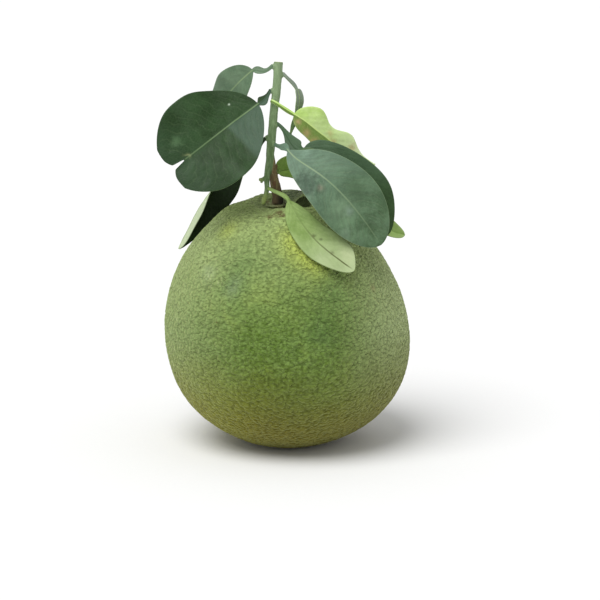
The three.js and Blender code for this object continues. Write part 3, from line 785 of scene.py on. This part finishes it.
def bladeMesh(leaf):
    rows, bladeLength = bladeRows(leaf)
    outers = np.linspace(0, 1, max(7, round(leaf["half"] / bladeSizes["mesh"])))[1:]
    inners = [0.3, 0.6, 0.85, 1.0]
    half = [(inner, 0.0) for inner in inners] + [(1.0, outer) for outer in outers]
    stations = [(-1, *pair) for pair in reversed(half)] + [(0, 0.0, 0.0)] + [(1, *pair) for pair in half]
    side, inner, outer = (np.array(column, float) for column in zip(*stations))
    facings = [np.array(facing, float) for facing in leaf["facing"]]
    opening, curl = math.radians(leaf["fold"]), leaf["curl"]
    thickness = bladeSizes["thickness"] / 2 * (1 - 0.4 * outer**6)
    faces, spots, shares, spans = [[], []], [], [[], []], [[], []]
    for place, way, rib, width, along, opened, length in rows:
        facing = facings[0] + (facings[1] - facings[0]) * max(along, 0)
        facing = facing - way * facing.dot(way)
        facing /= np.linalg.norm(facing)
        across = np.cross(way, facing)
        start = opening * opened
        onBlade = max(along, 0)
        turn = 2 * math.pi * leaf["waves"] * onBlade + leaf.get("phase", 0) + 1.3 * side
        swing = np.sin(turn) * math.sin(math.pi * onBlade) * outer**2
        bulge = np.maximum(0, side * leaf.get("shoulder", 0)) * math.sin(math.pi * onBlade**4)
        reach = rib * inner + (width + bulge - rib) * outer * (1 + leaf.get("ripple", 0) * swing)
        slope = start + curl * reach
        out = (np.sin(slope) - math.sin(start)) / curl
        lift = (math.cos(start) - np.cos(slope)) / curl + leaf["wave"] * swing
        spot = place + across * (side * out)[:, None] + facing * lift[:, None]
        if "end" in leaf:
            end = leaf["end"]
            shift = (end["round"] * (1 - np.sqrt(1 - np.maximum(0, 2 * outer - 1) ** 2))
                     + end["dip"] * np.maximum(0, 1 - 2 * outer) ** 2
                     + end["notch"] * np.maximum(0, 1 - outer / end["notchShare"]))
            spot = spot - way * (shift * onBlade**6)[:, None]
        tilt = slope * inner * side
        normal = facing * np.cos(tilt)[:, None] - across * np.sin(tilt)[:, None]
        rounding = np.cos(math.pi / 2 * np.where(outer > 0, 1, inner))
        ridge = rounding * rib * (0.4 if along < 0 else 0.4 * max(0, 1 - along / 0.06) + 0.1)
        keel = rounding * rib * 0.7
        for which, heights in enumerate((thickness + ridge, -thickness - keel)):
            faces[which].append(spot + normal * heights[:, None])
            ones = np.ones(len(side))
            share = side * reach / (width + bulge)
            shares[which].append(np.stack([along * ones, share, which * ones], 1))
            spans[which].append(np.stack([length * ones, side * reach, width + bulge], 1))
    return faces, shares, spans, len(stations), bladeLength


def bladeFaces(rows, stations):
    count = rows * stations
    faces = []
    for row in range(rows - 1):
        for station in range(stations - 1):
            near = row * stations + station
            far = near + stations
            faces.append((near, near + 1, far + 1, far))
            faces.append((count + far, count + far + 1, count + near + 1, count + near))
        left, right = row * stations, row * stations + stations - 1
        faces.append((left, left + stations, count + left + stations, count + left))
        faces.append((count + right, count + right + stations, right + stations, right))
    for station in range(stations - 1):
        last = count - stations + station
        faces.append((station, count + station, count + station + 1, station + 1))
        faces.append((last, last + 1, count + last + 1, count + last))
    return faces


def veinField(tree, shares, length, spacing, tilt):
    # Distance to the nearest side vein in millimetres, the bulge between veins, and where veins fade
    along, across, _ = tree.parts(shares)
    outward = absolute(across)
    drift = tree.noise(tree.scaled(shares, 3.4), 1.0, 2.0) - 0.5
    phase = (along - tilt * outward**1.4) * (length / spacing) + 0.5 * isAbove(across, 0) + drift * 1.9
    wave = phase.maths("PINGPONG", phase, 0.5)
    inside = smoothStep(outward, 0.03, 0.2) * (1 - smoothStep(outward, 0.72, 0.98))
    envelope = inside * smoothStep(along, 0.0, 0.1) * (1 - smoothStep(along, 0.86, 1.0))
    return wave * spacing, smoothStep(wave, 0.0, 0.5), envelope


def leafMaterial(leaf, length):
    material, tree = newMaterial(leaf["name"] + "_skin")
    place = objectPlace(tree)
    shares = tree.node("ShaderNodeAttribute", {"attribute_name": "bladeShares"}, None, 1)
    spans = tree.node("ShaderNodeAttribute", {"attribute_name": "bladeSpans"}, None, 1)
    along, across, under = tree.parts(shares)
    run, reach, width = tree.parts(spans)
    spacing, tilt = veinSizes["Vein Spacing"], veinSizes["Vein Tilt"]
    toVein, bulge, envelope = veinField(tree, shares, length, spacing, tilt)
    soft = tree.noise(place, 0.06, 3.0, 0.55)
    fine = tree.noise(place, 0.6, 2.0, 0.55)
    upper = screenColour(*leaf["upper"])
    vein = screenColour(*leaf["vein"])
    colour = tree.mix(smoothStep(soft + 0.25 * (fine - 0.5), 0.36, 0.66), screenColour(*leaf["deep"]), upper)
    # Painted sheen: a lighter tone graded along the blade stands in for reflected light.
    low, high = leaf["paintedSheenFrom"]
    sheenward = along + 0.4 * abs(high - low) * (soft - 0.5)
    paintedSheen = smoothStep(sheenward, low, high) if low < high else 1 - smoothStep(sheenward, high, low)
    colour = tree.mix(paintedSheen * 0.85, colour, screenColour(*leaf["paintedSheen"]))
    # Painted light on one side of the midrib: a painted reflection band on the large left leaf, painted shade
    # on the yellow leaf.
    if "paintedHalfLight" in leaf:
        side, reaches, softness, tint = leaf["paintedHalfLight"]
        near = 1 - smoothStep(along + 0.3 * softness * (soft - 0.5), reaches - softness, reaches + softness)
        colour = tree.mix(near * smoothStep(across * side, -0.03, 0.05) * 0.9, colour, screenColour(*tint))
    sideVein = bell(toVein, 0.0, 0.42) * envelope
    colour = tree.mix(sideVein * leaf.get("veined", 0.1), colour, vein)
    flat = tree.joined(run, reach, 0.0)
    net = tree.node("ShaderNodeTexVoronoi", {"feature": "DISTANCE_TO_EDGE"}, {"Vector": flat, "Scale": 0.62})
    netLine = 1 - smoothStep(net, 0.0, 0.1)
    colour = tree.mix(netLine * 0.06, colour, vein)
    ragged = tree.noise(place, 0.35, 4.0, 0.7) - 0.5
    for spotRun, spotReach, size, tint, strength in leaf.get("spots", []):
        gap = tree.between(flat, (spotRun, spotReach, 0)) + ragged * 2.6 * size
        colour = tree.mix(bell(gap, 0.0, size) * strength, colour, screenColour(*tint))
    # Painted reflection: brightness mottling stands in for sky reflected from the uneven blade. The bulges
    # between side veins get painted light and shade.
    reflectionMottle = tree.noise(tree.joined(run, reach * 0.6 + run * 0.3, 0.0), 0.13, 3.0, 0.6) - 0.5
    quiltShading = leaf.get("veined", 0.1) * (bulge - 0.5) * envelope
    colour = tree.scaled(colour, 1 + leaf.get("reflectionMottle", 0.5) * reflectionMottle + quiltShading)
    underside = tree.mix(smoothStep(fine, 0.3, 0.7) * 0.12, screenColour(*leaf["under"]), upper)
    colour = tree.mix(under, colour, underside)
    thin = absolute(reach)
    bold, faint = leaf.get("midrib", (0.75, 0.4))
    midrib = (1 - smoothStep(thin, 0.25, 0.7)) * (1 - smoothStep(along, 0.9, 1.0))
    midrib = midrib * smoothStep(along, -0.1, 0.02)
    colour = tree.mix(midrib * (bold + (faint - bold) * smoothStep(along, 0.0, 1.0)), colour, vein)
    rim = smoothStep(thin - width, -0.5, 0.0) * smoothStep(along, 0.0, 0.05)
    colour = tree.mix(rim * leaf.get("rimmed", 0.2), colour, vein)
    relief = fine * 0.4 - netLine * 0.5 * (1 - under) + netLine * 0.4 * under
    normal = tree.node("ShaderNodeBump", None, {"Strength": 0.3, "Distance": 0.0003, "Height": relief})
    roughness = leaf["gloss"] + 0.14 * fine + 0.2 * under
    settings = {"Base Color": colour, "Roughness": roughness, "Normal": normal}
    finishMaterial(tree, {**settings, "Specular IOR Level": leaf["shine"]})
    return material


def makeLeaf(leaf):
    tree, start, sizes = geometryTree(leaf["name"] + "_veins", veinSizes)
    faces, shares, spans, stations, length = bladeMesh(leaf)
    vertices = np.concatenate(faces[0] + faces[1])
    base = meshObject(leaf["name"] + "_blade", vertices, bladeFaces(len(faces[0]), stations))
    setAttribute(base.data, "bladeShares", "FLOAT_VECTOR", np.concatenate(shares[0] + shares[1]))
    setAttribute(base.data, "bladeSpans", "FLOAT_VECTOR", np.concatenate(spans[0] + spans[1]))

    vectors = {"data_type": "FLOAT_VECTOR"}
    share = tree.node("GeometryNodeInputNamedAttribute", vectors, {"Name": "bladeShares"})
    along, across, under = tree.parts(share)
    toVein, bulge, envelope = veinField(tree, share, length, sizes["Vein Spacing"], sizes["Vein Tilt"])
    place = tree.scaled(tree.node("GeometryNodeInputPosition"), 1000.0)
    uneven = (tree.noise(place, 0.07, 2.0) - 0.5) * (1 - absolute(across) ** 6) * smoothStep(along, 0.0, 0.15)
    ridge = bell(toVein, 0.0, 0.6) * envelope * sizes["Vein Ridge"]
    lift = (bulge - 0.5) * sizes["Quilt Height"] * envelope + uneven * sizes["Unevenness"] * 2 - ridge * 0.4
    outward = lift * (1 - 2 * under) + ridge * under
    offset = tree.scaled(tree.node("GeometryNodeInputNormal"), outward * millimetre)
    shaped = tree.node("GeometryNodeSetPosition", None, {0: start, "Offset": offset})
    shaped = tree.node("GeometryNodeSetShadeSmooth", None, {0: shaped})
    endTree(tree, shaped, leafMaterial(leaf, length))
    finishPiece(grown(base, leaf["name"] + "_blade", tree, veinSizes), leaf["name"])


for leaf in leaves:
    makeLeaf(leaf)


twigSizes = {
    "Lump Height": 0.28,
    "Lump Length": 3.0,
    "Spot Density": 26000.0,  # lenticels per square metre
    "Spot Width": 0.42,
    "Seed": 5,
}
tubeSizes = {"Tube Sides": 20}
twigBody = {
    "steps": {"stem": 90, "stalk": 40},  # points along a limb
    "stubSteps": 8,
    "voxel": 0.3,
    "smoothing": 5,
}
barkColours = {
    "shadedGreen": (92, 118, 72),
    "green": (126, 152, 106),
    "topGreen": (140, 162, 124),
    "brown": (92, 76, 46),
    "tan": (134, 122, 80),
    "rusty": (104, 62, 42),
    "foot": (98, 82, 56),
    "shade": (36, 32, 18),
    "bud": (156, 172, 88),
    "spot": (164, 170, 128),
    "wood": (196, 196, 150),
    "ring": (160, 168, 112),
    "pith": (226, 224, 190),
    "rind": (96, 122, 64),
}


def barkMaterial():
    material, tree = newMaterial("barkSkin")
    place = objectPlace(tree)
    x, _, z = tree.parts(place)
    tones = {name: screenColour(*tint) for name, tint in barkColours.items()}
    brownness = attributeOf(tree, "brownness")
    spot = attributeOf(tree, "spot")
    pale = attributeOf(tree, "cutWood")
    streaks = tree.noise(tree.vector("MULTIPLY", place, (1.0, 1.0, 0.16)), 0.9, 3.0, 0.6)
    blotches = tree.noise(place, 0.16, 3.0, 0.55)
    grain = tree.noise(place, 1.6, 2.0, 0.5)
    green = tree.mix(smoothStep(streaks, 0.35, 0.68), tones["shadedGreen"], tones["green"])
    upwards = smoothStep(z + 12 * (blotches - 0.5), 190.0, 250.0)
    green = tree.mix(upwards * 0.5, green, tones["topGreen"])
    brown = tree.mix(smoothStep(streaks, 0.3, 0.7), tones["brown"], tones["tan"])
    flecks = smoothStep(tree.noise(place, 0.42, 3.0, 0.6), 0.46, 0.62)
    brown = tree.mix(flecks * 0.7, brown, tones["rusty"])
    brown = tree.mix(1 - smoothStep(z, 166.0, 174.0), brown, tones["foot"])
    shaded = (1 - smoothStep(z, 163.0, 172.0)) * smoothStep(x, -7.5, -4.0)
    brown = tree.mix(shaded * 0.9, brown, tones["shade"])
    colour = tree.mix(smoothStep(brownness + 0.5 * (blotches - 0.5), 0.35, 0.65), green, brown)
    budding = bell(tree.between(place, shootBud["place"]), 0.0, 4.6)
    budding = budding + bell(tree.between(place, limbs["longStub"]["line"][2]), 0.0, 2.2)
    colour = tree.mix(budding * 0.8, colour, tones["bud"])
    colour = tree.mix(spot * 0.7, colour, tones["spot"])
    fromPith = attributeOf(tree, "fromPith")
    rings = fromPith.maths("SINE", fromPith * 9.0) * 0.5 + 0.5
    wood = tree.mix(rings * 0.4, tones["wood"], tones["ring"])
    wood = tree.mix(1 - smoothStep(fromPith, 0.4, 0.8), wood, tones["pith"])
    wood = tree.mix(smoothStep(fromPith, 2.1, 2.5), wood, tones["rind"])
    colour = tree.mix(pale, colour, wood)
    height = streaks * 0.7 + grain * 0.4
    normal = tree.node("ShaderNodeBump", None, {"Strength": 0.5, "Distance": 0.0004, "Height": height})
    roughness = 0.5 + 0.2 * streaks + 0.14 * brownness
    finishMaterial(tree, {"Base Color": colour, "Roughness": roughness, "Normal": normal})
    return material


def limbSplines():
    # Every limb, bud and swelling as a line of places and radii
    splines = []
    for name, limb in limbs.items():
        count = twigBody["steps"].get(name, twigBody["stubSteps"])
        splines.append([limbPlace(limb, share) for share in np.linspace(0, 1, count)])
    eggs = []
    for leaf in leaves:
        middle, radius, outward = nodeOn(*leaf["node"])
        way = outward + np.array([0, 0, 1.1])
        eggs.append((middle + outward * radius * 0.55, way, radius * 1.3, radius * 2.4))
        eggs.append((middle + outward * radius * 0.9, outward, radius * 0.9, radius * 1.5))
    eggs.append((shootBud["place"], shootBud["way"], shootBud["width"], shootBud["length"]))
    for place, way, width, length in eggs:
        way = np.array(way) / np.linalg.norm(way)
        turns = np.linspace(0.08, math.pi - 0.08, 11)
        middles = [np.array(place) - way * math.cos(turn) * length / 2 for turn in turns]
        splines.append([(middle, math.sin(turn) * width / 2) for middle, turn in zip(middles, turns)])
    return splines


def distanceToLimb(places, name):
    line = np.array([limbPlace(limbs[name], share)[0] for share in np.linspace(0, 1, 80)])
    return np.linalg.norm(places[:, None] - line[None], axis=2).min(1)


def makeTwig():
    curve = bpy.data.curves.new("limbLines", "CURVE")
    curve.dimensions = "3D"
    for line in limbSplines():
        spline = curve.splines.new("POLY")
        spline.points.add(len(line) - 1)
        for point, (place, radius) in zip(spline.points, line):
            point.co = (*(np.array(place) * millimetre), 1)
            point.radius = float(radius) * millimetre
    source = bpy.data.objects.new("limbLines", curve)
    bpy.context.scene.collection.objects.link(source)
    tree, start, sizes = geometryTree("limbTubes", tubeSizes)
    circle = tree.node("GeometryNodeCurvePrimitiveCircle", None, {0: sizes["Tube Sides"], "Radius": 1.0})
    radius = tree.node("GeometryNodeInputRadius")
    tubes = {0: start, 1: circle, "Scale": radius, "Fill Caps": True}
    endTree(tree, tree.node("GeometryNodeCurveToMesh", None, tubes), None)
    body = grown(source, "twigBody", tree, tubeSizes)

    remesh = body.modifiers.new("oneSkin", "REMESH")
    remesh.mode = "VOXEL"
    remesh.voxel_size = twigBody["voxel"] * millimetre
    soften = body.modifiers.new("soften", "SMOOTH")
    soften.factor = 0.5
    soften.iterations = twigBody["smoothing"]
    bpy.context.view_layer.update()
    mesh = bpy.data.meshes.new_from_object(body.evaluated_get(bpy.context.evaluated_depsgraph_get()))
    body.modifiers.clear()
    body.data = mesh
    places = np.empty(len(mesh.vertices) * 3)
    mesh.vertices.foreach_get("co", places)
    places = places.reshape(-1, 3) / millimetre
    stalkward = distanceToLimb(places, "stem") - distanceToLimb(places, "stalk")
    brownness = smoothStep(stalkward, -1.2, 1.6) * (1 - smoothStep(places[:, 2], 184, 198))
    top, nextPoint = (np.array(limbs["stem"]["line"][i], float) for i in (0, 1))
    axis = (top - nextPoint) / np.linalg.norm(top - nextPoint)
    along = (places - top) @ axis
    fromPith = np.linalg.norm(places - top - along[:, None] * axis, axis=1)
    setAttribute(mesh, "brownness", "FLOAT", brownness)
    setAttribute(mesh, "cutWood", "FLOAT", smoothStep(along, -0.35, -0.2))
    setAttribute(mesh, "fromPith", "FLOAT", fromPith)

    tree, start, sizes = geometryTree("barkRelief", twigSizes)
    place = tree.scaled(tree.node("GeometryNodeInputPosition"), 1000.0)
    lumps = tree.noise(tree.vector("MULTIPLY", place, (1, 1, 0.5)), 1 / sizes["Lump Length"], 2.0) - 0.5
    cut = tree.node("GeometryNodeInputNamedAttribute", {"data_type": "FLOAT"}, {"Name": "cutWood"})
    normal = tree.node("GeometryNodeInputNormal")
    offset = tree.scaled(normal, lumps * sizes["Lump Height"] * 2 * (1 - cut) * millimetre)
    shaped = tree.node("GeometryNodeSetPosition", None, {0: start, "Offset": offset})
    shaped = tree.node("GeometryNodeSetShadeSmooth", None, {0: shaped})
    scatter = {0: shaped, "Selection": cut.maths("LESS_THAN", cut, 0.5), "Density": sizes["Spot Density"]}
    points = tree.node("GeometryNodeDistributePointsOnFaces", None, {**scatter, "Seed": sizes["Seed"]})
    wart = tree.node("GeometryNodeMeshIcoSphere", None, {"Radius": millimetre, "Subdivisions": 2})
    store = {"data_type": "FLOAT", "domain": "POINT"}
    wart = tree.node("GeometryNodeStoreNamedAttribute", store, {0: wart, "Name": "spot", 3: 1.0})
    spread = {2: 0.5, 3: 1.0, "Seed": sizes["Seed"]}
    size = tree.node("FunctionNodeRandomValue", {"data_type": "FLOAT"}, spread, 1)
    width = size * sizes["Spot Width"] * 0.5
    instances = {0: points, "Instance": wart, "Rotation": points.output("Rotation")}
    scale = tree.joined(width, width, width * 0.45)
    warts = tree.node("GeometryNodeInstanceOnPoints", None, {**instances, "Scale": scale})
    warts = tree.node("GeometryNodeSetShadeSmooth", None, {0: warts})
    joined = tree.node("GeometryNodeJoinGeometry", None, {0: warts})
    tree.tree.links.new(shaped.socket, joined.socket.node.inputs[0])
    endTree(tree, joined, barkMaterial())
    finishPiece(grown(body, "twigBark", tree, twigSizes), "twig")


makeTwig()

# Calyx
calyx = {
    "radius": 8.2,
    "lobes": 5,
    "thickness": 2.0,
    "gap": 0.3,
    "curl": 1.1,
    "wrinkle": 0.22,
    "ragged": 0.22,
    "sides": 150,
    "rings": 26,
}
calyxColours = {
    "dry": (146, 142, 100),
    "fresh": (176, 188, 140),
    "grain": (70, 48, 32),
    "shade": (34, 36, 18),
}


def makeCalyx():
    sides, rings = calyx["sides"], calyx["rings"]
    azimuth = np.arange(sides) * 2 * math.pi / sides
    random = np.random.default_rng(3)
    waves = (3, 7, 11, 16)
    ragged = sum(random.uniform(-1, 1) * np.cos(wave * azimuth + random.uniform(0, 6)) for wave in waves)
    ragged = ragged * calyx["ragged"]
    layers = [[], []]
    for ring in range(1, rings + 1):
        share = ring / rings
        reach = calyx["radius"] * (1 + 0.2 * np.cos(calyx["lobes"] * azimuth) * share) + ragged * share
        polar = share * reach / fruitShape["crownHeight"]
        furrow = calyx["wrinkle"] * np.cos(25 * azimuth + 4 * share + 2 * ragged) * share
        curl = calyx["curl"] * share**8
        top = calyx["gap"] + 0.1 + calyx["thickness"] * (1 - 0.72 * share**2) + furrow + curl
        layers[0].append(skinPoint(polar, azimuth, top))
        layers[1].append(skinPoint(polar, azimuth, calyx["gap"] + curl * 0.8))
    rows = layers[0] + layers[1][::-1]
    poles = [[skinPoint(0, 0, calyx["thickness"] + 0.4)], [skinPoint(0, 0, calyx["gap"])]]
    vertices = np.concatenate(rows + poles)
    faces = []
    last = len(rows) * sides
    for side in range(sides):
        after = (side + 1) % sides
        faces.append((last, side, after))
        faces.append((last + 1, (len(rows) - 1) * sides + after, (len(rows) - 1) * sides + side))
        for row in range(len(rows) - 1):
            near = row * sides
            faces.append((near + side, near + sides + side, near + sides + after, near + after))
    piece = meshObject("calyxButton", vertices, faces)
    material, tree = newMaterial("calyxSkin")
    place = objectPlace(tree)
    x, _, _ = tree.parts(place)
    tones = {name: screenColour(*tint) for name, tint in calyxColours.items()}
    patches = tree.noise(place, 0.3, 3.0, 0.6)
    grain = tree.noise(place, 1.5, 3.0, 0.6)
    colour = tree.mix(smoothStep(patches, 0.36, 0.64), tones["dry"], tones["fresh"])
    colour = tree.mix(smoothStep(grain, 0.5, 0.75) * 0.6, colour, tones["grain"])
    colour = tree.mix(smoothStep(x + 3 * (patches - 0.5), -4.5, 0.0) * 0.9, colour, tones["shade"])
    normal = tree.node("ShaderNodeBump", None, {"Strength": 0.6, "Distance": 0.0005, "Height": grain})
    settings = {"Base Color": colour, "Roughness": 0.7 + 0.2 * grain, "Normal": normal}
    finishMaterial(tree, {**settings, "Specular IOR Level": 0.15})
    piece.data.materials.append(material)
    finishPiece(piece, "calyx")


makeCalyx()
